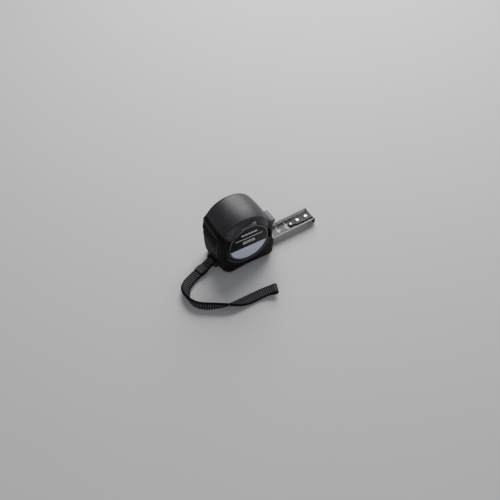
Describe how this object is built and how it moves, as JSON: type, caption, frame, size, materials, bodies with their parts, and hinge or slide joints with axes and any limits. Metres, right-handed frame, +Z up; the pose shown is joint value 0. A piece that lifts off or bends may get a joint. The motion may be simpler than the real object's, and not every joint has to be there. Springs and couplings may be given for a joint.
{
  "type": "tape measure",
  "caption": "Pocket tape measure with a round-topped case, its blade drawn out and locked, a sliding thumb lock, a belt clip and a wrist strap.",
  "frame": {"origin": "middle of the flat base, straight under the reel's axle", "axes": "+X the way the blade comes out, -Y the side with the round label, +Z up"},
  "size_m": [0.1644, 0.0909, 0.0682],
  "materials": {
    "shell": "satin",
    "rubber": "matt, slightly ribbed",
    "ring": "bright",
    "label": "printed film",
    "blade": "black lacquer with printed marks",
    "hook": "black coated steel",
    "rivet": "bright",
    "steel": "plated",
    "spring_steel": "oiled",
    "reel": "moulded",
    "lock": "moulded",
    "guide": "smooth",
    "webbing": "ribbed woven webbing"
  },
  "bodies": {
    "case": {"shell_label_side": "shell", "shell_clip_side": "shell", "grip_label_side": "rubber", "grip_clip_side": "rubber", "label_ring": "ring", "label_disc": "label", "arbor": "steel", "power_spring": "spring_steel", "mouth_guide": "guide", "hook_bumper": "rubber", "belt_clip": "steel", "belt_clip_screw": "steel", "arbor_screw": "steel", "case_screw_front": "steel", "case_screw_back": "steel", "strap_pin": "steel", "strap_collar": "webbing", "wrist_strap": "webbing"},
    "reel": {"reel_drum": "reel", "reel_flange_label_side": "reel", "reel_flange_clip_side": "reel", "blade_coil": "blade"},
    "blade": {"blade": "blade", "hook_rivet_front": "rivet", "hook_rivet_middle": "rivet", "hook_rivet_back": "rivet"},
    "hook": {"end_hook": "hook"},
    "lock": {"lock_button": "lock", "lock_slider": "lock", "brake_pad": "rubber"}
  },
  "joints": [
    {"name": "blade_slide", "type": "slide", "parent": "case", "child": "blade", "axis": [1, 0, 0], "range_m": [-0.0526, 0.004]},
    {"name": "reel_spin", "type": "hinge", "parent": "case", "child": "reel", "pos_m": [0, 0, 0.0372], "axis": [0, 1, 0], "range_deg": [-10, 122]},
    {"name": "hook_slide", "type": "slide", "parent": "blade", "child": "hook", "axis": [1, 0, 0], "range_m": [0, 0.001]},
    {"name": "lock_slide", "type": "slide", "parent": "case", "child": "lock", "axis": [0, 0, 1], "range_m": [0, 0.005]}
  ],
  "couplings": [
    {"joint": "reel_spin", "follows": "blade_slide", "rad_per_m": -40.323}
  ]
}
